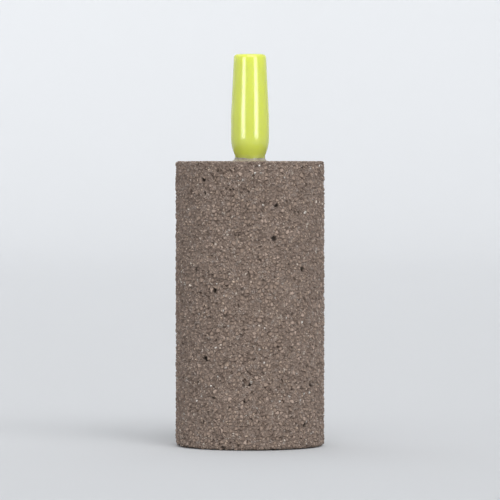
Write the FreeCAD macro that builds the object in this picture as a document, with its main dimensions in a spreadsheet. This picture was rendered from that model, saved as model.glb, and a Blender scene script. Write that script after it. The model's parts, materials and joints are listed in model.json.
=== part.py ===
import FreeCAD, Part
import math
import os

import Sketcher

# Air stone: a cylinder of fused mineral grit with a moulded hose nozzle glued into its top.
# The origin is the centre of the stone's base, and +Z runs up the axis through the nozzle.
# The nozzle and its adhesive are drawn from the stone's top face, and placed there.
# All lengths are millimetres.

doc = FreeCAD.newDocument("air_stone")

# ---------------------------------------------------------------- driving dimensions

DIMENSIONS = [
    # stone
    ("stone_diameter", 21.0, "outside of the grit cylinder"),
    ("stone_height", 40.0, "base to top face"),
    ("base_arris", 0.6, "rounding where the side meets the base"),
    ("top_arris", 0.3, "rounding where the side meets the top face"),
    ("bore_diameter", 5.4, "blind air bore"),
    ("bore_depth", 28.0, "top face to the bottom of the bore's round end"),
    ("mouth_flare", 0.4, "bevel at the bore's mouth"),
    # nozzle, above the stone
    ("nozzle_reach", 15.0, "top face of the stone to the nozzle's tip"),
    ("tip_diameter", 4.5, "taper at the tip"),
    ("land_diameter", 5.3, "widest part, where the air line grips"),
    ("land_length", 3.0, "straight part of the hose land"),
    ("shoulder_radius", 6.0, "curve from the land in to the neck"),
    ("neck_diameter", 4.2, "neck and buried shank"),
    ("neck_length", 0.8, "straight neck that shows above the stone"),
    ("lip_radius", 0.5, "outer rounding of the tip"),
    ("airway_diameter", 2.4, "air hole, right through"),
    ("airway_bevel", 0.2, "bevel at each end of the air hole"),
    # nozzle, buried in the stone
    ("shank_length", 9.0, "top face of the stone to the shank's end"),
    ("shank_bevel", 0.3, "lead-in at the shank's end"),
    ("key_count", 3, "ring grooves that lock the adhesive"),
    ("key_width", 0.8, "height of one ring groove"),
    ("key_depth", 0.25, "depth of one ring groove"),
    ("key_pitch", 2.2, "groove to groove"),
    ("key_start", 1.6, "top face of the stone to the top of the first groove"),
    # adhesive
    ("seal_length", 8.0, "top face of the stone to the adhesive's lower edge"),
    ("seal_rise", 0.4, "height that the adhesive climbs the neck"),
    ("seal_curve", 1.6, "hollow curve of the adhesive's upper and lower edges"),
]

sheet = doc.addObject("Spreadsheet::Sheet", "Sizes")
for row, (alias, value, meaning) in enumerate(DIMENSIONS, start=1):
    sheet.set(f"A{row}", alias)
    sheet.set(f"B{row}", str(value))
    sheet.set(f"C{row}", meaning)
    sheet.setAlias(f"B{row}", alias)
doc.recompute()

# radii, as expressions over the sheet
STONE_RADIUS = "Sizes.stone_diameter / 2"
BORE_RADIUS = "Sizes.bore_diameter / 2"
MOUTH_RADIUS = "Sizes.bore_diameter / 2 + Sizes.mouth_flare"
NECK_RADIUS = "Sizes.neck_diameter / 2"
KEY_RADIUS = "Sizes.neck_diameter / 2 - Sizes.key_depth"
LAND_RADIUS = "Sizes.land_diameter / 2"
TIP_RADIUS = "Sizes.tip_diameter / 2"
AIRWAY_RADIUS = "Sizes.airway_diameter / 2"

# heights in the stone, from its base
STONE_TOP = "Sizes.stone_height"
BORE_FLOOR = "Sizes.stone_height - Sizes.bore_depth"
BORE_ROUND_TOP = f"{BORE_FLOOR} + {BORE_RADIUS}"
STONE_FLARE_FOOT = "Sizes.stone_height - Sizes.mouth_flare"

# heights in the nozzle and adhesive, from the stone's top face
# the shoulder's curve leaves the land without a corner, and rises by shoulder_height
SHOULDER_STEP = "(Sizes.land_diameter - Sizes.neck_diameter) / 2"
SHOULDER_HEIGHT = f"sqrt(2 * Sizes.shoulder_radius * {SHOULDER_STEP} - ({SHOULDER_STEP}) ^ 2)"
NECK_TOP = "Sizes.neck_length"
LAND_BOTTOM = f"{NECK_TOP} + {SHOULDER_HEIGHT}"
LAND_TOP = f"{LAND_BOTTOM} + Sizes.land_length"
NOZZLE_TIP = "Sizes.nozzle_reach"
SHANK_END = "-Sizes.shank_length"
SEAL_END = "-Sizes.seal_length"
SEAL_FLARE_FOOT = "-Sizes.mouth_flare"
FIRST_KEY_TOP = "-Sizes.key_start"
FIRST_KEY_BOTTOM = "-Sizes.key_start - Sizes.key_width"

SAME_PLACE = 1e-4  # two rings closer than this are the same ring
LARGEST_OVERLAP = 0.001  # cubic millimetres of rounding where two pieces touch

# ---------------------------------------------------------------- sketch helpers


def origin_feature(body, role):
    """One of the body's own origin planes or axes."""
    for feature in body.Origin.OriginFeatures:
        if feature.Role == role:
            return feature
    raise ValueError(f"{body.Label} has no {role}")


def new_sketch(body, name, plane_role):
    sketch = body.newObject("Sketcher::SketchObject", name)
    sketch.AttachmentSupport = [(origin_feature(body, plane_role), "")]
    sketch.MapMode = "FlatFace"
    return sketch


def value_of(expression):
    """The sheet's present value of an expression, in millimetres."""
    return float(sheet.evalExpression(expression))


def arc_between(start, end, radius, turn):
    """Arc from start to end. turn is +1 where it runs anticlockwise and -1 where clockwise."""
    chord = end - start
    middle = (start + end) * 0.5
    to_centre = math.sqrt(radius ** 2 - (chord.Length / 2) ** 2)
    normal = FreeCAD.Vector(-chord.y, chord.x, 0).normalize()
    centre = middle + normal * to_centre * turn
    circle = Part.Circle(centre, FreeCAD.Vector(0, 0, 1), radius)
    first, last = (start, end) if turn > 0 else (end, start)
    return Part.ArcOfCircle(circle, circle.parameter(first), circle.parameter(last))


def half_section(body, name, outline):
    """Closed outline in the XZ plane, to be turned about the Z axis.

    Each corner is (radius, height), or (radius, height, arc radius, turn) where the edge that
    leaves it is an arc. Radii and heights are expressions over the sheet, and each becomes a
    named dimension of the sketch.
    """
    sketch = new_sketch(body, name, "XZ_Plane")
    points = [FreeCAD.Vector(value_of(c[0]), value_of(c[1]), 0) for c in outline]
    ends = []
    for index, corner in enumerate(outline):
        start = points[index]
        end = points[(index + 1) % len(points)]
        if len(corner) == 2:
            sketch.addGeometry(Part.LineSegment(start, end), False)
            ends.append((1, 2))
        else:
            sketch.addGeometry(arc_between(start, end, value_of(corner[2]), corner[3]), False)
            ends.append((1, 2) if corner[3] > 0 else (2, 1))
    for index in range(len(outline)):
        after = (index + 1) % len(outline)
        sketch.addConstraint(
            Sketcher.Constraint("Coincident", index, ends[index][1], after, ends[after][0])
        )
    for index, corner in enumerate(outline):
        vertex = ends[index][0]
        dimension(sketch, f"radius_{index}", corner[0], "DistanceX", -1, 1, index, vertex)
        dimension(sketch, f"height_{index}", corner[1], "DistanceY", -1, 1, index, vertex)
        if len(corner) == 4:
            dimension(sketch, f"curve_{index}", corner[2], "Radius", index)
    return sketch


def dimension(sketch, name, expression, kind, *references):
    """Driving dimension of a sketch, bound to the sheet. A zero size needs no binding."""
    constraint = Sketcher.Constraint(kind, *references, value_of(expression))
    number = sketch.addConstraint(constraint)
    sketch.renameConstraint(number, name)
    if expression != "0":
        sketch.setExpression(f"Constraints.{name}", expression)


def turned(body, kind, name, sketch):
    """Full turn of a half section about the body's Z axis: Revolution adds, Groove cuts."""
    feature = body.newObject(f"PartDesign::{kind}", name)
    feature.Profile = sketch
    feature.ReferenceAxis = (sketch, ["V_Axis"])
    feature.Angle = 360
    sketch.Visibility = False
    doc.recompute()
    return feature


def ring_edges(feature, radius, height):
    """Names of the round edges of a feature at a given radius and height."""
    names = []
    for number, edge in enumerate(feature.Shape.Edges, start=1):
        if edge.Degenerated or not isinstance(edge.Curve, Part.Circle):
            continue
        centre = edge.Curve.Center
        wanted = FreeCAD.Vector(0, 0, height)
        right_size = abs(edge.Curve.Radius - radius) < SAME_PLACE
        if right_size and centre.distanceToPoint(wanted) < SAME_PLACE:
            names.append(f"Edge{number}")
    if not names:
        raise ValueError(f"{feature.Label} has no ring of radius {radius} at height {height}")
    return names


def dress_ring(body, kind, name, radius, height, size_property, expression):
    """Fillet or Chamfer on one ring edge of the body's present tip."""
    base = body.Tip
    feature = body.newObject(f"PartDesign::{kind}", name)
    feature.Base = (base, ring_edges(base, value_of(radius), value_of(height)))
    feature.setExpression(size_property, expression)
    doc.recompute()


def volume_step(body, earlier, grows):
    """Check that the last feature took material away, or added some, and return the volume."""
    volume = body.Shape.Volume
    if (volume > earlier) != grows:
        raise ValueError(f"{body.Tip.Label} in {body.Label} changed the volume the wrong way")
    return volume


def new_body(label, base_height):
    """Body that stands on the frame's Z axis, with its own origin at a height from the sheet."""
    body = doc.addObject("PartDesign::Body", label)
    body.Label = label
    body.Placement = FreeCAD.Placement(
        FreeCAD.Vector(0, 0, value_of(base_height)), FreeCAD.Rotation()
    )
    if base_height != "0":
        body.setExpression("Placement.Base.z", base_height)
    return body


def pitch_down(body, name, feature):
    """Repeat a ring down the shank at the groove pitch."""
    pattern = body.newObject("PartDesign::LinearPattern", name)
    pattern.Originals = [feature]
    pattern.Direction = (origin_feature(body, "Z_Axis"), [""])
    pattern.Reversed = True
    pattern.setExpression("Length", "Sizes.key_pitch * (Sizes.key_count - 1)")
    pattern.setExpression("Occurrences", "Sizes.key_count")
    body.Tip = pattern
    doc.recompute()


def key_ring(body):
    """Square ring section of the first glue key, from the groove's floor to the shank's side."""
    return half_section(body, "key_section", [
        (KEY_RADIUS, FIRST_KEY_BOTTOM),
        (NECK_RADIUS, FIRST_KEY_BOTTOM),
        (NECK_RADIUS, FIRST_KEY_TOP),
        (KEY_RADIUS, FIRST_KEY_TOP),
    ])


# ---------------------------------------------------------------- stone


def make_stone_body():
    """Bonded grit cylinder with rounded arrises and a blind bore with a round end."""
    body = new_body("stone_body", "0")
    outline = new_sketch(body, "stone_circle", "XY_Plane")
    circle = Part.Circle(FreeCAD.Vector(), FreeCAD.Vector(0, 0, 1), value_of(STONE_RADIUS))
    outline.addGeometry(circle, False)
    outline.addConstraint(Sketcher.Constraint("Coincident", 0, 3, -1, 1))
    dimension(outline, "stone_radius", STONE_RADIUS, "Radius", 0)
    pad = body.newObject("PartDesign::Pad", "stone_block")
    pad.Profile = outline
    pad.setExpression("Length", STONE_TOP)
    outline.Visibility = False
    doc.recompute()
    volume = volume_step(body, 0, True)

    bore = half_section(body, "bore_section", [
        ("0", BORE_FLOOR, BORE_RADIUS, 1),
        (BORE_RADIUS, BORE_ROUND_TOP),
        (BORE_RADIUS, STONE_FLARE_FOOT),
        (MOUTH_RADIUS, STONE_TOP),
        ("0", STONE_TOP),
    ])
    turned(body, "Groove", "air_bore", bore)
    volume = volume_step(body, volume, False)

    for name, height, size in (
        ("base_rounding", "0", "Sizes.base_arris"),
        ("top_rounding", STONE_TOP, "Sizes.top_arris"),
    ):
        dress_ring(body, "Fillet", name, STONE_RADIUS, height, "Radius", size)
        volume = volume_step(body, volume, False)
    return body


# ---------------------------------------------------------------- nozzle


def make_nozzle():
    """Hollow hose tail: ringed shank, neck, shoulder, hose land, taper and rounded lip."""
    body = new_body("nozzle", STONE_TOP)
    section = half_section(body, "nozzle_section", [
        (AIRWAY_RADIUS, SHANK_END),
        (NECK_RADIUS, SHANK_END),
        (NECK_RADIUS, NECK_TOP, "Sizes.shoulder_radius", 1),
        (LAND_RADIUS, LAND_BOTTOM),
        (LAND_RADIUS, LAND_TOP),
        (TIP_RADIUS, NOZZLE_TIP),
        (AIRWAY_RADIUS, NOZZLE_TIP),
    ])
    turned(body, "Revolution", "hose_tail", section)
    volume = volume_step(body, 0, True)

    dress_ring(body, "Fillet", "lip", TIP_RADIUS, NOZZLE_TIP, "Radius", "Sizes.lip_radius")
    volume = volume_step(body, volume, False)
    for name, height in (("tip_mouth", NOZZLE_TIP), ("shank_mouth", SHANK_END)):
        dress_ring(body, "Chamfer", name, AIRWAY_RADIUS, height, "Size", "Sizes.airway_bevel")
        volume = volume_step(body, volume, False)
    dress_ring(body, "Chamfer", "lead_in", NECK_RADIUS, SHANK_END, "Size", "Sizes.shank_bevel")
    volume = volume_step(body, volume, False)

    groove = turned(body, "Groove", "glue_key", key_ring(body))
    volume = volume_step(body, volume, False)
    pitch_down(body, "glue_keys", groove)
    volume_step(body, volume, False)
    return body


# ---------------------------------------------------------------- adhesive


def make_adhesive_seal():
    """Cured ring between shank and bore. It fills the shank's ring grooves and the bore's
    bevelled mouth, climbs the neck a little, and has a hollow lower edge."""
    body = new_body("adhesive_seal", STONE_TOP)
    section = half_section(body, "seal_section", [
        (NECK_RADIUS, f"{SEAL_END} - Sizes.seal_rise", "Sizes.seal_curve", -1),
        (BORE_RADIUS, SEAL_END),
        (BORE_RADIUS, SEAL_FLARE_FOOT),
        (MOUTH_RADIUS, "0", "Sizes.seal_curve", -1),
        (NECK_RADIUS, "Sizes.seal_rise"),
    ])
    turned(body, "Revolution", "seal_ring", section)
    volume = volume_step(body, 0, True)

    key = turned(body, "Revolution", "key_fill", key_ring(body))
    volume = volume_step(body, volume, True)
    pitch_down(body, "key_fills", key)
    volume_step(body, volume, True)
    return body


# ---------------------------------------------------------------- build, check and write

pieces = [make_stone_body(), make_nozzle(), make_adhesive_seal()]
doc.recompute()

for item in doc.Objects:
    faults = [state for state in item.State if state in ("Invalid", "Error")]
    if faults:
        raise RuntimeError(f"{item.Label}: {faults}")
for piece in pieces:
    shape = piece.Shape
    if shape.isNull() or not shape.isValid() or len(shape.Solids) != 1:
        raise RuntimeError(f"{piece.Label} is not one valid solid")

for index, piece in enumerate(pieces):
    for other in pieces[index + 1:]:
        shared = piece.Shape.common(other.Shape).Volume
        if shared > LARGEST_OVERLAP:
            raise RuntimeError(f"{piece.Label} and {other.Label} overlap by {shared:.3f} mm3")

os.makedirs("parts", exist_ok=True)
for piece in pieces:
    piece.Shape.exportStep(f"parts/{piece.Label}.step")
    box = piece.Shape.optimalBoundingBox(False, False)
    print(
        f"{piece.Label}: {piece.Shape.Volume:.1f} mm3, "
        f"{box.XLength:.2f} x {box.YLength:.2f} x {box.ZLength:.2f} mm, "
        f"z {box.ZMin:.2f} to {box.ZMax:.2f}"
    )
land_bottom = value_of(f"{STONE_TOP} + {LAND_BOTTOM}")
land_top = value_of(f"{STONE_TOP} + {LAND_TOP}")
print(f"hose land from z {land_bottom:.3f} to {land_top:.3f}")
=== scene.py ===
import json
import math

import bpy
import numpy as np
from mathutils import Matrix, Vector


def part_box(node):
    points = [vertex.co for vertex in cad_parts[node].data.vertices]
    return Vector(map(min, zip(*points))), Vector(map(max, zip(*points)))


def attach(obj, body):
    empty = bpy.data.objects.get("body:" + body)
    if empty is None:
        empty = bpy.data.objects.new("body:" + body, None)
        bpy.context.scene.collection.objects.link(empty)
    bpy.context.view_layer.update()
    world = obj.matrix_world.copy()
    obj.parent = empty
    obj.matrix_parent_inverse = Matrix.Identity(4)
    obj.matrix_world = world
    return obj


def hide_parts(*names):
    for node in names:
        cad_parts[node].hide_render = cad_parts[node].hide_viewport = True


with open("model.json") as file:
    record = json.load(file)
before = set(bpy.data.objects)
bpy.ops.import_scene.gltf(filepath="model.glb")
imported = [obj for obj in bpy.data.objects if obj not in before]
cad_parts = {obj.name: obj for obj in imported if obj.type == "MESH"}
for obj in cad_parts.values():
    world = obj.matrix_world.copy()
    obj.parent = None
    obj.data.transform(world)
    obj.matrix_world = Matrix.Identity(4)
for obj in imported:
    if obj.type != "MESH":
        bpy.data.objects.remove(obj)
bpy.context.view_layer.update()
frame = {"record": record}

METRE = 1.0
MM = 0.001
TURN = 2 * math.pi
MIDDLE = 0.5
SEED = 11

# An air stone: a cylinder of bonded grit, the hose nozzle in its top and the adhesive between
# them, on a pale stage. Lengths are in metres. Shares are parts of 1.

# The grit. Grains of two sizes are cells of one 3-D pattern, which shapes the mesh and
# colours the material alike.
REST_PLACE = "grit_rest_place"
RELIEF = "grit_relief"
FINE_GRAIN = 0.34 * MM
COARSE_GRAIN = 0.50 * MM
COARSE_SHARE = 0.35
COARSE_SHIFT = (0.313, 0.127, 0.229)
EDGE_BEND = 0.08 * MM
EDGE_BEND_SIZE = 0.35 * MM
CREVICE_WIDTH = 0.088 * MM
CREVICE_DEPTH = 0.17 * MM
FACET_SLOPE = 0.75
LEVEL_SPREAD = 0.15 * MM
DEEPEST = 0.75 * MM
# Grains that are missing, and the larger pores
MISSING_SHARE = 0.012
MISSING_DEPTH = 0.30 * MM
PORE_SPACING = 4.0 * MM
PORE_RADIUS = 0.38 * MM
PORE_RADIUS_SPREAD = 0.12 * MM
PORE_EDGE = 0.12 * MM
PORE_DEPTH = 0.60 * MM
# Its colours: where each shade starts on a grain's random number, from 0 to 1, and the shade.
# The coarse grains' numbers stay under COARSE_SHARE, so these grains have darker shades.
GRAIN_SHADES = [
    (0.00, (0.165, 0.117, 0.090)),
    (0.10, (0.250, 0.183, 0.141)),
    (0.30, (0.340, 0.255, 0.204)),
    (0.52, (0.420, 0.326, 0.264)),
    (0.70, (0.370, 0.307, 0.266)),
    (0.82, (0.520, 0.395, 0.304)),
    (0.94, (0.640, 0.545, 0.460)),
    (0.985, (0.850, 0.800, 0.740)),
]
CREVICE_SHADE = (0.180, 0.133, 0.106)
# Painted shade: inside the larger pores the colour is multiplied by this, for the shade of pores deeper
# than the mesh's pits
PORE_PAINTED_SHADE = 0.35
MOTTLE = 0.5
MOTTLE_SIZE = 0.09 * MM
MOTTLE_DETAIL = 3.0
MOTTLE_HEIGHT = 0.03 * MM
GRAIN_ROUGHNESS = (0.62, 0.92)
CLEAR_GRAINS_FROM = 0.94
CLEAR_GRAIN_GLOSS = 0.35
GRAIN_BUMP = 0.5

# The stone's form
BASE_ARRIS = 0.6 * MM
TOP_ARRIS = 0.3 * MM
TOP_ARRIS_STEPS = 4
BORE_RADIUS = 2.7 * MM
BORE_FLOOR = 12 * MM
BORE_END_STEPS = 5
MOUTH_FLARE = 0.4 * MM
# Its mesh: points are this far apart, and the triangles are then reduced to a number
GRIT_SPACING = 0.115 * MM
HIDDEN_SPACING = 0.8 * MM
POINT_JITTER = 0.2
FEWEST_IN_RING = 6
STONE_FACES = 196000

# The stone's map for baked images: its side unrolled, with its ends and bore beside it. A rough
# mesh has no useful automatic map.
MAP_NAME = "OFBake"
MAP_SIZE = 67 * MM
MAP_GAP = 0.5 * MM

# The nozzle's form. Its keys are the ring grooves that the adhesive fills.
LATHE_SEGMENTS = 192
LATHE_SPACING = 0.35 * MM
TIP_RADIUS = 2.25 * MM
LIP_RADIUS = 0.5 * MM
LIP_STEPS = 8
SHOULDER_RADIUS = 6 * MM
SHOULDER_STEPS = 10
NECK_RADIUS = 2.1 * MM
NECK_LENGTH = 0.8 * MM
AIRWAY_BEVEL = 0.2 * MM
SHANK_BEVEL = 0.3 * MM
KEY_COUNT = 3
KEY_WIDTH = 0.8 * MM
KEY_DEPTH = 0.25 * MM
KEY_PITCH = 2.2 * MM
KEY_START = 1.6 * MM
PARTING_RISE = 0.03 * MM
PARTING_WIDTH = 0.11 * MM
PARTING_START = 1.9 * MM
SHARP_EDGE = math.radians(32)
# Its plastic, clouded and faintly streaked along the flow
NOZZLE_SHADES = ((0.59, 0.66, 0.095), (0.65, 0.70, 0.125))
CLOUD_SIZE = 2.5 * MM
STREAK_WIDTH = 0.30 * MM
STREAK_STRETCH = 0.1
STREAK_SHARE = 0.5
NOZZLE_DETAIL = 3.0
NOZZLE_ROUGHNESS = (0.09, 0.21)
NOZZLE_SPECULAR = 0.8
NOZZLE_SCATTER_WEIGHT = 1.0
NOZZLE_SCATTER = (1.0, 1.0, 0.35)
NOZZLE_SCATTER_LENGTH = 2.6 * MM
NOZZLE_GRAIN = 0.25 * MM
NOZZLE_GRAIN_HEIGHT = 0.012 * MM
NOZZLE_BUMP = 0.3

# The adhesive's visible surface: it climbs the nozzle's neck, lies nearly level and dips under
# the stone's grains, so that its edge is uneven.
MENISCUS_RISE = 0.45 * MM
MENISCUS_REACH = 0.17 * MM
FOOT_WIDTH = 1.55 * MM
FOOT_DROP = 0.25 * MM
FOOT_BEND = 3
FOOT_LEVEL = -0.03 * MM
FOOT_STEPS = 14
FOOT_CROWDING = 1.5
TUCK_WIDTH = 0.8 * MM
TUCK_DEPTH = 0.6 * MM
# Unevenness round the ring: how many waves, how far they go outwards, as a share, and how far
# up the neck and up the foot
WAVES = 12
WAVE_SCALE = 1.5
FOOT_WAVE = 0.34
CLIMB_WAVE = 0.07 * MM
LUMP_WAVE = 0.07 * MM
# Its colours, and the loose grit that stuck to it
GLUE_SHADES = ((0.22, 0.18, 0.13), (0.46, 0.40, 0.30))
GLUE_CLOUD = 0.7 * MM
GLUE_CLOUD_ROUGHNESS = 0.6
GLUE_DETAIL = 4.0
GLUE_CONTRAST = 2.0
GLUE_ROUGHNESS = (0.36, 0.66)
GLUE_ROUGHNESS_SIZE = 0.3 * MM
GLUE_SPECULAR = 0.28
GLUE_SCATTER_WEIGHT = 0.5
GLUE_SCATTER = (1.0, 0.8, 0.5)
GLUE_SCATTER_LENGTH = 0.5 * MM
GLUE_LUMP = 0.35 * MM
GLUE_LUMP_HEIGHT = 0.1 * MM
GLUE_BUMP = 0.8
DUST_SHADE = (0.19, 0.145, 0.115)
DUST_SIZE = 0.18 * MM
DUST_SHARE = 0.05
DUST_HEIGHT = 0.5
DUST_DULLNESS = 0.3

# The camera, straight in front of the object and a little over its middle
CAMERA_DISTANCE = 562 * MM
CAMERA_HEIGHT = 41.4 * MM
AIM_HEIGHT = 27.5 * MM
LENS = 288
SENSOR = 36
CLIP = (0.01, 10)

# The stage: a round pale floor that curves up into a wall
FLOOR_RADIUS = 0.9
FLOOR_STEPS = 12
FLOOR_CURVE = 0.5
CURVE_STEPS = 16
FLOOR_RIM = 0.75
WALL_SPACING = 0.1
FLOOR_SEGMENTS = 96
FLOOR_GAP = 0.02 * MM
FLOOR_SHADE = (0.60, 0.604, 0.608)
FLOOR_ROUGHNESS = 0.9

# The light: two soft boxes, whose angles are in degrees, and a soft sky
SOFTBOX_AZIMUTHS = {"softbox_left": -42, "softbox_right": 40}
SOFTBOX_ELEVATION = 4
SOFTBOX_DISTANCE = 0.8
SOFTBOX_HALF_WIDTH = 14
SOFTBOX_HALF_HEIGHT = 7
SOFTBOX_RADIANCE = 8.4
SOFTBOX_SPREAD = 45
SKY = 0.10
SKY_TINT = (0.95, 0.97, 1.0)
# Soft glows in the sky: azimuth, elevation, radiance at the middle and narrowness
SKY_GLOWS = [(0, 90, 0.4, 2), (16, 33, 7.1, 10), (200, 45, 0.9, 3)]


# ---------------------------------------------------------------- nodes

def add_node(tree, kind, inputs=None, **settings):
    """A node with its settings, and with its inputs linked or set."""
    node = tree.nodes.new(kind)
    for name, value in settings.items():
        setattr(node, name, value)
    for name, value in (inputs or {}).items():
        if isinstance(value, bpy.types.NodeSocket):
            tree.links.new(value, node.inputs[name])
        else:
            node.inputs[name].default_value = value
    return node


def calc(tree, operation, *values, clamp=False):
    inputs = dict(enumerate(values))
    return add_node(tree, "ShaderNodeMath", inputs, operation=operation, use_clamp=clamp).outputs[0]


def vector_calc(tree, operation, *values, output="Vector"):
    inputs = dict(enumerate(values))
    return add_node(tree, "ShaderNodeVectorMath", inputs, operation=operation).outputs[output]


def scaled(tree, vector, factor):
    inputs = {"Vector": vector, "Scale": factor}
    return add_node(tree, "ShaderNodeVectorMath", inputs, operation="SCALE").outputs["Vector"]


def noise(tree, place, size, detail=2.0, roughness=0.5, output="Fac"):
    inputs = {"Vector": place, "Scale": 1 / size, "Detail": detail, "Roughness": roughness}
    return add_node(tree, "ShaderNodeTexNoise", inputs).outputs[output]


def cells(tree, place, size, feature="F1"):
    inputs = {"Vector": place, "Scale": 1 / size, "Randomness": 1.0}
    return add_node(tree, "ShaderNodeTexVoronoi", inputs, feature=feature).outputs


def parts(tree, vector):
    """The X, Y and Z of a vector. Those of a cell's colour are three random numbers from 0 to 1."""
    return add_node(tree, "ShaderNodeSeparateXYZ", {0: vector}).outputs


def centred(tree, random):
    """Random numbers from 0 to 1, moved to lie round 0."""
    return vector_calc(tree, "SUBTRACT", random, (MIDDLE, MIDDLE, MIDDLE))


def blend_values(tree, factor, first, second):
    """first where factor is 0, second where it is 1."""
    return calc(tree, "MULTIPLY_ADD", calc(tree, "SUBTRACT", second, first), factor, first)


def blend_vectors(tree, factor, first, second):
    step = vector_calc(tree, "SUBTRACT", second, first)
    return vector_calc(tree, "ADD", first, scaled(tree, step, factor))


def blend_colours(tree, factor, first, second):
    """Either colour may be a socket or three numbers."""
    inputs = {"Factor": factor}
    for name, colour in (("A", first), ("B", second)):
        inputs[name] = (*colour, 1) if isinstance(colour, tuple) else colour
    return add_node(tree, "ShaderNodeMix", inputs, data_type="RGBA").outputs["Result"]


def within(tree, factor, low_high):
    """A value from low to high as factor goes from 0 to 1."""
    low, high = low_high
    return calc(tree, "MULTIPLY_ADD", factor, high - low, low)


def new_material(name):
    """A material, its node tree and its Principled shader."""
    material = bpy.data.materials.new(name)
    material.use_nodes = True
    return material, material.node_tree, material.node_tree.nodes["Principled BSDF"]


def link_bump(tree, shader, height, strength, distance):
    inputs = {"Height": height, "Strength": strength, "Distance": distance}
    bump = add_node(tree, "ShaderNodeBump", inputs)
    tree.links.new(bump.outputs["Normal"], shader.inputs["Normal"])


# ---------------------------------------------------------------- grit

def grain_layer(tree, place, size):
    """One size of grain: its random numbers, its tilted facet's height and how far its edge is."""
    cell = cells(tree, place, size)
    border = cells(tree, place, size, feature="DISTANCE_TO_EDGE")
    from_middle = vector_calc(tree, "SUBTRACT", place, cell["Position"])
    facet = vector_calc(tree, "DOT_PRODUCT", centred(tree, cell["Color"]), from_middle, output="Value")
    edge = calc(tree, "MULTIPLY", border["Distance"], size)
    return {"random": cell["Color"], "facet": facet, "edge": edge}


def grit(tree, place):
    """The grit at a place: its height against the mould's wall, the grain's random numbers, 0 at a
    grain's edge to 1 on its facet, and 1 in a larger pore."""
    bend = centred(tree, noise(tree, place, EDGE_BEND_SIZE, output="Color"))
    place = vector_calc(tree, "ADD", place, scaled(tree, bend, 2 * EDGE_BEND))
    fine = grain_layer(tree, place, FINE_GRAIN)
    coarse = grain_layer(tree, vector_calc(tree, "ADD", place, COARSE_SHIFT), COARSE_GRAIN)
    is_coarse = calc(tree, "LESS_THAN", parts(tree, coarse["random"])["Z"], COARSE_SHARE)
    facet = blend_values(tree, is_coarse, fine["facet"], coarse["facet"])
    fine_edge = calc(tree, "MINIMUM", fine["edge"], coarse["edge"])
    edge = blend_values(tree, is_coarse, fine_edge, coarse["edge"])
    numbers = parts(tree, blend_vectors(tree, is_coarse, fine["random"], coarse["random"]))
    on_facet = calc(tree, "DIVIDE", edge, CREVICE_WIDTH, clamp=True)
    is_missing = calc(tree, "LESS_THAN", numbers["Y"], MISSING_SHARE)
    pore_sizes = (PORE_RADIUS - PORE_RADIUS_SPREAD, PORE_RADIUS + PORE_RADIUS_SPREAD)
    reach = within(tree, numbers["X"], pore_sizes)
    to_pore = calc(tree, "MULTIPLY", cells(tree, place, PORE_SPACING)["Distance"], PORE_SPACING)
    in_pore = calc(tree, "DIVIDE", calc(tree, "SUBTRACT", reach, to_pore), PORE_EDGE, clamp=True)
    height = calc(tree, "MULTIPLY", facet, FACET_SLOPE)
    height = calc(tree, "MULTIPLY_ADD", numbers["X"], -LEVEL_SPREAD, height)
    height = calc(tree, "ADD", height, within(tree, on_facet, (-CREVICE_DEPTH, 0)))
    height = calc(tree, "MULTIPLY_ADD", is_missing, -MISSING_DEPTH, height)
    height = calc(tree, "MULTIPLY_ADD", in_pore, -PORE_DEPTH, height)
    height = calc(tree, "MAXIMUM", calc(tree, "MINIMUM", height, 0.0), -DEEPEST)
    return {"height": height, "numbers": numbers, "on_facet": on_facet, "in_pore": in_pore}


def relief_group():
    """Moves each point along its normal by the height of the grit there."""
    tree = bpy.data.node_groups.new("grit_relief", "GeometryNodeTree")
    tree.interface.new_socket("Geometry", in_out="INPUT", socket_type="NodeSocketGeometry")
    tree.interface.new_socket("Geometry", in_out="OUTPUT", socket_type="NodeSocketGeometry")
    source = tree.nodes.new("NodeGroupInput")
    place = tree.nodes.new("GeometryNodeInputPosition").outputs[0]
    normal = tree.nodes.new("GeometryNodeInputNormal").outputs[0]
    amount = add_node(tree, "GeometryNodeInputNamedAttribute", {"Name": RELIEF}, data_type="FLOAT")
    height = calc(tree, "MULTIPLY", grit(tree, place)["height"], amount.outputs[0])
    inputs = {"Geometry": source.outputs[0], "Offset": scaled(tree, normal, height)}
    moved = add_node(tree, "GeometryNodeSetPosition", inputs)
    target = tree.nodes.new("NodeGroupOutput")
    tree.links.new(moved.outputs[0], target.inputs[0])
    return tree


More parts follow.
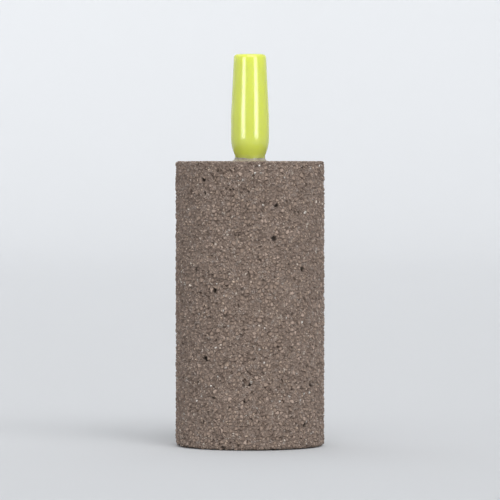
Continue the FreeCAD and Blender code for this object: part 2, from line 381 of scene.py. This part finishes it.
def stone_material():
    material, tree, shader = new_material("stone_grit")
    rest = add_node(tree, "ShaderNodeAttribute", attribute_name=REST_PLACE).outputs["Vector"]
    grains = grit(tree, rest)
    ramp = add_node(tree, "ShaderNodeValToRGB", {"Fac": grains["numbers"]["Z"]})
    ramp.color_ramp.interpolation = "CONSTANT"
    while len(ramp.color_ramp.elements) < len(GRAIN_SHADES):
        ramp.color_ramp.elements.new(MIDDLE)
    for stop, (position, shade) in zip(ramp.color_ramp.elements, GRAIN_SHADES):
        stop.position = position
        stop.color = (*shade, 1)
    shade = blend_colours(tree, grains["on_facet"], CREVICE_SHADE, ramp.outputs["Color"])
    fine = noise(tree, rest, MOTTLE_SIZE, MOTTLE_DETAIL)
    mottle = within(tree, fine, (1 - MOTTLE / 2, 1 + MOTTLE / 2))
    # The random mottle, times painted shade that darkens the colour inside the larger pores
    mottle_and_painted_pore_shade = calc(tree, "MULTIPLY", mottle, within(tree, grains["in_pore"], (1, PORE_PAINTED_SHADE)))
    tree.links.new(scaled(tree, shade, mottle_and_painted_pore_shade), shader.inputs["Base Color"])
    is_clear = calc(tree, "GREATER_THAN", grains["numbers"]["Z"], CLEAR_GRAINS_FROM)
    rough = calc(tree, "MULTIPLY_ADD", is_clear, -CLEAR_GRAIN_GLOSS, within(tree, fine, GRAIN_ROUGHNESS))
    tree.links.new(rough, shader.inputs["Roughness"])
    height = calc(tree, "MULTIPLY_ADD", fine, MOTTLE_HEIGHT, grains["height"])
    link_bump(tree, shader, height, GRAIN_BUMP, METRE)
    return material


# ---------------------------------------------------------------- meshes

def mesh_object(name, vertices, faces):
    mesh = bpy.data.meshes.new(name)
    mesh.from_pydata(vertices, [], faces)
    mesh.validate()
    mesh.update()
    made = bpy.data.objects.new(name, mesh)
    bpy.context.scene.collection.objects.link(made)
    return made


def get_places(mesh):
    places = np.zeros(3 * len(mesh.vertices), np.float32)
    mesh.vertices.foreach_get("co", places)
    return places.reshape(-1, 3)


def set_places(mesh, places):
    mesh.vertices.foreach_set("co", places.ravel())
    mesh.update()


def settle(piece):
    """Applies the piece's modifiers."""
    graph = bpy.context.evaluated_depsgraph_get()
    graph.update()
    result = bpy.data.meshes.new_from_object(
        piece.evaluated_get(graph), preserve_all_data_layers=True, depsgraph=graph
    )
    piece.modifiers.clear()
    piece.data = result


def arc(centre, radius, start, end, steps):
    """Points (r, z) round a centre from one angle to another, in degrees, without the first."""
    angles = np.radians(np.linspace(start, end, steps + 1)[1:])
    return [(centre[0] + radius * math.cos(a), centre[1] + radius * math.sin(a)) for a in angles]


def line(start, end, spacing=math.inf):
    """Points (r, z) from start to end, without the first."""
    steps = max(1, round(math.dist(start, end) / spacing))
    start, end = np.array(start), np.array(end)
    return [tuple(start + (end - start) * k / steps) for k in range(1, steps + 1)]


# ---------------------------------------------------------------- stone

def stone_rings(radius, height):
    """Rings (r, z, spacing, relief) from the underside's middle over the outside and down the bore."""
    fine = GRIT_SPACING
    arris_steps = round(BASE_ARRIS * math.pi / 2 / fine)
    outside = line((0, 0), (radius - BASE_ARRIS, 0), fine)
    outside += arc((radius - BASE_ARRIS, BASE_ARRIS), BASE_ARRIS, -90, 0, arris_steps)
    outside += line((radius, BASE_ARRIS), (radius, height - TOP_ARRIS), fine)
    outside += arc((radius - TOP_ARRIS, height - TOP_ARRIS), TOP_ARRIS, 0, 90, TOP_ARRIS_STEPS)
    mouth = (BORE_RADIUS + MOUTH_FLARE, height)
    throat = (BORE_RADIUS, height - MOUTH_FLARE)
    outside += line((radius - TOP_ARRIS, height), mouth, fine)
    bore_end = BORE_FLOOR + BORE_RADIUS
    inside = line(mouth, throat, fine)
    inside += line(throat, (BORE_RADIUS, bore_end), HIDDEN_SPACING)
    inside += arc((0, bore_end), BORE_RADIUS, 0, -90, BORE_END_STEPS)[:-1]
    rings = [(r, z, fine, 1.0) for r, z in outside]
    for r, z in inside:
        near_mouth = z > height - 2 * MOUTH_FLARE
        rings.append((r, z, fine if near_mouth else HIDDEN_SPACING, 0.0))
    return rings


def ring_count(radius, spacing):
    return max(FEWEST_IN_RING, round(TURN * radius / spacing))


def ring_surface(rings, floor_z, dice):
    """A closed surface of rings round the Z axis, each as finely divided as its size needs."""
    places = [(0.0, 0.0, 0.0)]
    counts = []
    phases = []
    for r, z, spacing, _ in rings:
        count = ring_count(r, spacing)
        phase = dice.random()
        jitter = dice.uniform(-POINT_JITTER, POINT_JITTER, count)
        angles = (np.arange(count) + phase + jitter) * TURN / count
        places += list(zip(r * np.cos(angles), r * np.sin(angles), np.full(count, z)))
        counts.append(count)
        phases.append(phase)
    places.append((0.0, 0.0, floor_z))
    starts = 1 + np.concatenate([[0], np.cumsum(counts)])
    last = len(places) - 1
    faces = [(0, starts[0] + (k + 1) % counts[0], starts[0] + k) for k in range(counts[0])]
    rows = list(zip(starts, counts, phases))
    for lower, upper in zip(rows, rows[1:]):
        faces += stitched(*lower, *upper)
    faces += [(starts[-2] + k, starts[-2] + (k + 1) % counts[-1], last) for k in range(counts[-1])]
    return places, [tuple(int(v) for v in face) for face in faces]


def stitched(start_a, count_a, phase_a, start_b, count_b, phase_b):
    """Triangles between two neighbouring rings, in order of the middles of their edges."""
    middles_a = (np.arange(count_a) + 0.5 + phase_a) / count_a
    middles_b = (np.arange(count_b) + 0.5 + phase_b) / count_b
    order = np.argsort(np.concatenate([middles_a, middles_b]))
    from_a = order < count_a
    a = np.cumsum(from_a) - from_a
    b = np.cumsum(~from_a) - ~from_a
    a_here, a_next = start_a + a % count_a, start_a + (a + 1) % count_a
    b_here, b_next = start_b + b % count_b, start_b + (b + 1) % count_b
    third = np.where(from_a, a_next, b_next)
    return list(zip(a_here, third, b_here))


def make_stone():
    low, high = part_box("stone_body")
    radius = (high.x - low.x) / 2
    dice = np.random.default_rng(SEED)
    rings = stone_rings(radius, high.z)
    places, faces = ring_surface(rings, BORE_FLOOR, dice)
    stone = mesh_object("stone_grit_body", places, faces)
    counts = [ring_count(r, spacing) for r, _, spacing, _ in rings]
    relief = np.concatenate([[1.0], np.repeat([ring[3] for ring in rings], counts), [0.0]])
    stone.data.attributes.new(RELIEF, "FLOAT", "POINT").data.foreach_set("value", relief)
    rest = stone.data.attributes.new(REST_PLACE, "FLOAT_VECTOR", "POINT")
    rest.data.foreach_set("vector", np.array(places, np.float32).ravel())
    grains = stone.modifiers.new("grains", "NODES")
    grains.node_group = relief_group()
    fewer = stone.modifiers.new("fewer faces", "DECIMATE")
    fewer.ratio = STONE_FACES / len(faces)
    settle(stone)
    stone.data.attributes.remove(stone.data.attributes[RELIEF])
    keep_in_mould(stone.data, radius, high.z)
    lay_flat(stone.data, radius, high.z)
    return stone


def keep_in_mould(mesh, radius, height):
    """Brings grains that stick out back to the mould's wall and to the stone's two ends."""
    places = get_places(mesh)
    from_axis = np.hypot(places[:, 0], places[:, 1])
    places[:, :2] *= np.minimum(1, radius / np.maximum(from_axis, MM))[:, None]
    places[:, 2] = np.clip(places[:, 2], 0, height)
    set_places(mesh, places)


def lay_flat(mesh, radius, height):
    """Gives the stone's triangles their places on the map, from their places before the relief."""
    rest = np.zeros(3 * len(mesh.vertices), np.float32)
    mesh.attributes[REST_PLACE].data.foreach_get("vector", rest)
    corners = np.zeros(len(mesh.loops), np.int32)
    mesh.loops.foreach_get("vertex_index", corners)
    x, y, z = rest.reshape(-1, 3)[corners].reshape(-1, 3, 3).transpose(2, 0, 1)
    middle_x, middle_y, middle_z = (value.mean(1, keepdims=True) for value in (x, y, z))
    middle_r = np.hypot(middle_x, middle_y)
    middle_angle = np.arctan2(middle_y, middle_x)
    off = np.arctan2(y, x) - middle_angle
    angle = middle_angle + off - TURN * np.round(off / TURN)
    mouth = BORE_RADIUS + MOUTH_FLARE
    inward = radius - middle_r
    in_bore = (middle_r < mouth) & (middle_z > BASE_ARRIS)
    on_top = (middle_z > height / 2) & (inward > height - middle_z)
    on_base = (middle_z <= BASE_ARRIS) & (inward > middle_z)
    row = height + 2 * MAP_GAP
    base_start = 2 * radius + MAP_GAP
    bore_start = base_start + 2 * radius + MAP_GAP
    end_start = bore_start + TURN * BORE_RADIUS + 2 * MAP_GAP
    bore_end = BORE_FLOOR + BORE_RADIUS
    # places on the map for the bore's round end, the bore, the top and the base, then the side
    kinds = [in_bore & (middle_z < bore_end), in_bore, on_top, on_base]
    across = [
        end_start + BORE_RADIUS + x,
        bore_start + BORE_RADIUS * (math.pi - angle),
        radius + x,
        base_start + radius - x,
    ]
    up = [
        row + BORE_RADIUS + y,
        row + z - bore_end,
        row + radius + y,
        row + radius + y,
    ]
    u = np.select(kinds, across, radius * (math.pi + angle))
    v = np.select(kinds, up, z)
    places = np.stack([u + MAP_GAP, v + MAP_GAP], axis=2) / MAP_SIZE
    layer = mesh.uv_layers.new(name=MAP_NAME)
    layer.data.foreach_set("uv", places.astype(np.float32).ravel())


# ---------------------------------------------------------------- nozzle

def lathed(name, outline):
    """A closed turned surface from a closed outline of (r, z) points."""
    rows = len(outline)
    angles = np.arange(LATHE_SEGMENTS) * TURN / LATHE_SEGMENTS
    places = [(r * math.cos(a), r * math.sin(a), z) for a in angles for r, z in outline]
    faces = []
    for turn in range(LATHE_SEGMENTS):
        here = turn * rows
        there = (turn + 1) % LATHE_SEGMENTS * rows
        for row in range(rows):
            up = (row + 1) % rows
            faces.append((here + row, there + row, there + up, here + up))
    return mesh_object(name, places, faces)


def glue_keys(stone_top):
    """Corners (r, z) of the ring grooves in the nozzle's shank, from the lowest up."""
    corners = []
    for key in reversed(range(KEY_COUNT)):
        top = stone_top - KEY_START - key * KEY_PITCH
        bottom = top - KEY_WIDTH
        floor = NECK_RADIUS - KEY_DEPTH
        corners += [(NECK_RADIUS, bottom), (floor, bottom), (floor, top), (NECK_RADIUS, top)]
    return corners


def nozzle_outline():
    low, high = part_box("nozzle")
    mounts = {mount["name"]: mount for mount in frame["record"]["mounts"]}
    stone_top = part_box("stone_body")[1].z
    airway = mounts["airway"]["dims"]["r_mm"] * MM
    land = mounts["hose_land"]
    land_radius = land["dims"]["r_mm"] * MM
    half_land = land["dims"]["length_mm"] * MM / 2
    land_low = land["pos_m"][2] - half_land
    land_high = land["pos_m"][2] + half_land
    shoulder = (land_radius - SHOULDER_RADIUS, land_low)
    turned = math.degrees(math.acos((NECK_RADIUS - shoulder[0]) / SHOULDER_RADIUS))
    points = [(airway, low.z + AIRWAY_BEVEL)]
    points += line(points[-1], (airway + AIRWAY_BEVEL, low.z))
    points += line(points[-1], (NECK_RADIUS - SHANK_BEVEL, low.z), LATHE_SPACING)
    points += line(points[-1], (NECK_RADIUS, low.z + SHANK_BEVEL))
    for corner in glue_keys(stone_top):
        points += line(points[-1], corner, LATHE_SPACING)
    points += line(points[-1], (NECK_RADIUS, stone_top + NECK_LENGTH), LATHE_SPACING)
    points += arc(shoulder, SHOULDER_RADIUS, -turned, 0, SHOULDER_STEPS)
    points += line(points[-1], (land_radius, land_high), LATHE_SPACING)
    points += line(points[-1], (TIP_RADIUS, high.z - LIP_RADIUS), LATHE_SPACING)
    points += arc((TIP_RADIUS - LIP_RADIUS, high.z - LIP_RADIUS), LIP_RADIUS, 0, 90, LIP_STEPS)
    points += line(points[-1], (airway + AIRWAY_BEVEL, high.z), LATHE_SPACING)
    points += line(points[-1], (airway, high.z - AIRWAY_BEVEL))
    points += line(points[-1], points[0], LATHE_SPACING)[:-1]
    return points


def add_parting_line(mesh):
    """Raises the faint line that the mould's two halves leave along both sides of the nozzle."""
    places = get_places(mesh)
    radius = np.hypot(places[:, 0], places[:, 1])
    from_line = np.abs(places[:, 1])
    rise = PARTING_RISE * np.exp(-(from_line / PARTING_WIDTH) ** 2)
    rise *= np.clip((radius - PARTING_START) / PARTING_WIDTH, 0, 1)
    places[:, :2] *= (1 + rise / radius)[:, None]
    set_places(mesh, places)


def make_nozzle():
    nozzle = lathed("nozzle_moulding", nozzle_outline())
    add_parting_line(nozzle.data)
    nozzle.data.shade_smooth()
    nozzle.data.set_sharp_from_angle(angle=SHARP_EDGE)
    return nozzle


def nozzle_material():
    material, tree, shader = new_material("nozzle_plastic")
    place = add_node(tree, "ShaderNodeTexCoord").outputs["Object"]
    cloud = noise(tree, place, CLOUD_SIZE, NOZZLE_DETAIL)
    stretched = vector_calc(tree, "MULTIPLY", place, (1, 1, STREAK_STRETCH))
    streaks = noise(tree, stretched, STREAK_WIDTH, NOZZLE_DETAIL)
    uneven = blend_values(tree, STREAK_SHARE, cloud, streaks)
    tree.links.new(blend_colours(tree, uneven, *NOZZLE_SHADES), shader.inputs["Base Color"])
    tree.links.new(within(tree, uneven, NOZZLE_ROUGHNESS), shader.inputs["Roughness"])
    shader.inputs["Subsurface Weight"].default_value = NOZZLE_SCATTER_WEIGHT
    shader.inputs["Subsurface Radius"].default_value = NOZZLE_SCATTER
    shader.inputs["Subsurface Scale"].default_value = NOZZLE_SCATTER_LENGTH
    shader.inputs["Specular IOR Level"].default_value = NOZZLE_SPECULAR
    grain = blend_values(tree, STREAK_SHARE, noise(tree, place, NOZZLE_GRAIN), streaks)
    link_bump(tree, shader, grain, NOZZLE_BUMP, NOZZLE_GRAIN_HEIGHT)
    return material


# ---------------------------------------------------------------- adhesive

def meniscus(out):
    """Height over the stone's top at a distance out from the nozzle's neck."""
    climb = MENISCUS_RISE * math.exp(-out / MENISCUS_REACH)
    drop = FOOT_DROP * (out / FOOT_WIDTH) ** FOOT_BEND
    return climb - drop + FOOT_LEVEL


def adhesive_outline():
    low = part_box("adhesive_seal")[0]
    stone_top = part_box("stone_body")[1].z
    points = [(NECK_RADIUS, low.z), (BORE_RADIUS, low.z + MENISCUS_RISE)]
    points += line(points[-1], (BORE_RADIUS, stone_top - 2 * MOUTH_FLARE), HIDDEN_SPACING)
    points.append((NECK_RADIUS + TUCK_WIDTH, stone_top - TUCK_DEPTH))
    for step in reversed(range(FOOT_STEPS + 1)):
        out = FOOT_WIDTH * (step / FOOT_STEPS) ** FOOT_CROWDING
        points.append((NECK_RADIUS + out, stone_top + meniscus(out)))
    for corner in reversed(glue_keys(stone_top)):
        points += line(points[-1], corner, HIDDEN_SPACING)
    points += line(points[-1], points[0], HIDDEN_SPACING)[:-1]
    return points


def waves(dice, angle):
    """A smooth random value round the ring, mostly within -1 to 1."""
    turns = np.arange(1, WAVES + 1)
    heights = dice.uniform(-1, 1, WAVES) / turns ** 0.5
    phases = dice.uniform(0, TURN, WAVES)
    return (heights * np.cos(np.outer(angle, turns) + phases)).sum(1) / WAVE_SCALE


def make_adhesive():
    """A ring of cured adhesive, level and round where it is hidden, with an uneven meniscus."""
    dice = np.random.default_rng(SEED + 1)
    stone_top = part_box("stone_body")[1].z
    seal = lathed("adhesive_ring", adhesive_outline())
    places = get_places(seal.data)
    angle = np.arctan2(places[:, 1], places[:, 0])
    radius = np.hypot(places[:, 0], places[:, 1])
    shown = places[:, 2] > stone_top - MOUTH_FLARE
    outward = np.clip(radius - NECK_RADIUS, 0, None) * shown
    spread = 1 + FOOT_WAVE * waves(dice, angle) * outward / radius
    climb = CLIMB_WAVE * waves(dice, angle) * np.exp(-outward / MENISCUS_REACH) * shown
    lump = LUMP_WAVE * waves(dice, angle) * np.sin(np.pi * np.clip(outward / FOOT_WIDTH, 0, 1))
    places[:, :2] *= spread[:, None]
    places[:, 2] += climb + lump
    set_places(seal.data, places)
    seal.data.shade_smooth()
    return seal


def adhesive_material():
    material, tree, shader = new_material("adhesive")
    place = add_node(tree, "ShaderNodeTexCoord").outputs["Object"]
    cloud = noise(tree, place, GLUE_CLOUD, GLUE_DETAIL, GLUE_CLOUD_ROUGHNESS)
    cloud = calc(tree, "SUBTRACT", cloud, MIDDLE)
    cloud = calc(tree, "MULTIPLY_ADD", cloud, GLUE_CONTRAST, MIDDLE, clamp=True)
    dust_numbers = parts(tree, cells(tree, place, DUST_SIZE)["Color"])
    is_dust = calc(tree, "LESS_THAN", dust_numbers["X"], DUST_SHARE)
    glue = blend_colours(tree, cloud, *GLUE_SHADES)
    tree.links.new(blend_colours(tree, is_dust, glue, DUST_SHADE), shader.inputs["Base Color"])
    rough = within(tree, noise(tree, place, GLUE_ROUGHNESS_SIZE), GLUE_ROUGHNESS)
    rough = calc(tree, "MULTIPLY_ADD", is_dust, DUST_DULLNESS, rough)
    tree.links.new(rough, shader.inputs["Roughness"])
    shader.inputs["Specular IOR Level"].default_value = GLUE_SPECULAR
    shader.inputs["Subsurface Weight"].default_value = GLUE_SCATTER_WEIGHT
    shader.inputs["Subsurface Radius"].default_value = GLUE_SCATTER
    shader.inputs["Subsurface Scale"].default_value = GLUE_SCATTER_LENGTH
    lumps = calc(tree, "MULTIPLY_ADD", is_dust, DUST_HEIGHT, noise(tree, place, GLUE_LUMP, GLUE_DETAIL))
    link_bump(tree, shader, lumps, GLUE_BUMP, GLUE_LUMP_HEIGHT)
    return material


# ---------------------------------------------------------------- stage

def aimed(thing, place, target):
    thing.location = place
    thing.rotation_euler = (Vector(target) - Vector(place)).to_track_quat("-Z", "Y").to_euler()
    bpy.context.scene.collection.objects.link(thing)


def make_camera():
    data = bpy.data.cameras.new("camera")
    data.lens = LENS
    data.sensor_width = SENSOR
    data.clip_start, data.clip_end = CLIP
    camera = bpy.data.objects.new("camera", data)
    aimed(camera, (0, -CAMERA_DISTANCE, CAMERA_HEIGHT), (0, 0, AIM_HEIGHT))
    bpy.context.scene.camera = camera


def make_floor():
    outline = line((0, -FLOOR_GAP), (FLOOR_RADIUS, -FLOOR_GAP), FLOOR_RADIUS / FLOOR_STEPS)
    outline += arc((FLOOR_RADIUS, FLOOR_CURVE - FLOOR_GAP), FLOOR_CURVE, -90, 0, CURVE_STEPS)
    outline += line(outline[-1], (FLOOR_RADIUS + FLOOR_CURVE, FLOOR_RIM), WALL_SPACING)
    angles = np.arange(FLOOR_SEGMENTS) * TURN / FLOOR_SEGMENTS
    places = [(0, 0, -FLOOR_GAP)]
    places += [(r * math.cos(a), r * math.sin(a), z) for r, z in outline for a in angles]
    steps = [(k, (k + 1) % FLOOR_SEGMENTS) for k in range(FLOOR_SEGMENTS)]
    faces = [(0, 1 + k, 1 + after) for k, after in steps]
    for row in range(len(outline) - 1):
        here = 1 + row * FLOOR_SEGMENTS
        there = here + FLOOR_SEGMENTS
        faces += [(here + k, there + k, there + after, here + after) for k, after in steps]
    floor = mesh_object("floor", places, faces)
    floor.data.shade_smooth()
    material, _, shader = new_material("floor")
    shader.inputs["Base Color"].default_value = (*FLOOR_SHADE, 1)
    shader.inputs["Roughness"].default_value = FLOOR_ROUGHNESS
    floor.data.materials.append(material)


def direction(azimuth, elevation):
    """The unit vector towards a place round the object, whose azimuth is 0 at the camera and 90 on
    its right."""
    turned, raised = math.radians(azimuth), math.radians(elevation)
    flat = math.cos(raised)
    return (flat * math.sin(turned), -flat * math.cos(turned), math.sin(raised))


def softbox(name, azimuth):
    """A rectangular light, aimed at the object, which sees its face at the given radiance.

    The grid on it narrows its beam to the spread, and its power is less by that share."""
    data = bpy.data.lights.new(name, "AREA")
    data.shape = "RECTANGLE"
    data.size = 2 * SOFTBOX_DISTANCE * math.tan(math.radians(SOFTBOX_HALF_WIDTH))
    data.size_y = 2 * SOFTBOX_DISTANCE * math.tan(math.radians(SOFTBOX_HALF_HEIGHT))
    data.spread = math.radians(SOFTBOX_SPREAD)
    half = data.spread / 2
    share = math.sin(half) ** 2 - (half - math.sin(half) * math.cos(half)) / math.tan(half)
    data.energy = SOFTBOX_RADIANCE * data.size * data.size_y * math.pi * share
    light = bpy.data.objects.new(name, data)
    middle = Vector((0, 0, AIM_HEIGHT))
    aimed(light, middle + SOFTBOX_DISTANCE * Vector(direction(azimuth, SOFTBOX_ELEVATION)), middle)


def make_sky():
    world = bpy.data.worlds.new("world")
    world.use_nodes = True
    tree = world.node_tree
    towards = add_node(tree, "ShaderNodeTexCoord").outputs["Generated"]
    strength = SKY
    for azimuth, elevation, radiance, narrowness in SKY_GLOWS:
        facing = vector_calc(tree, "DOT_PRODUCT", towards, direction(azimuth, elevation), output="Value")
        glow = calc(tree, "POWER", calc(tree, "MAXIMUM", facing, 0.0), narrowness)
        strength = calc(tree, "MULTIPLY_ADD", glow, radiance, strength)
    background = tree.nodes["Background"]
    background.inputs["Color"].default_value = (*SKY_TINT, 1)
    tree.links.new(strength, background.inputs["Strength"])
    bpy.context.scene.world = world
    bpy.context.scene.view_settings.view_transform = "Standard"


make_camera()
make_floor()
for name, azimuth in SOFTBOX_AZIMUTHS.items():
    softbox(name, azimuth)
make_sky()
for make, dress, node, slot in (
    (make_stone, stone_material, "stone_body", "stone_grit"),
    (make_nozzle, nozzle_material, "nozzle", "nozzle_plastic"),
    (make_adhesive, adhesive_material, "adhesive_seal", "adhesive"),
):
    piece = make()
    piece.data.materials.clear()
    piece.data.materials.append(dress())
    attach(piece, "root")
    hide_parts(node)
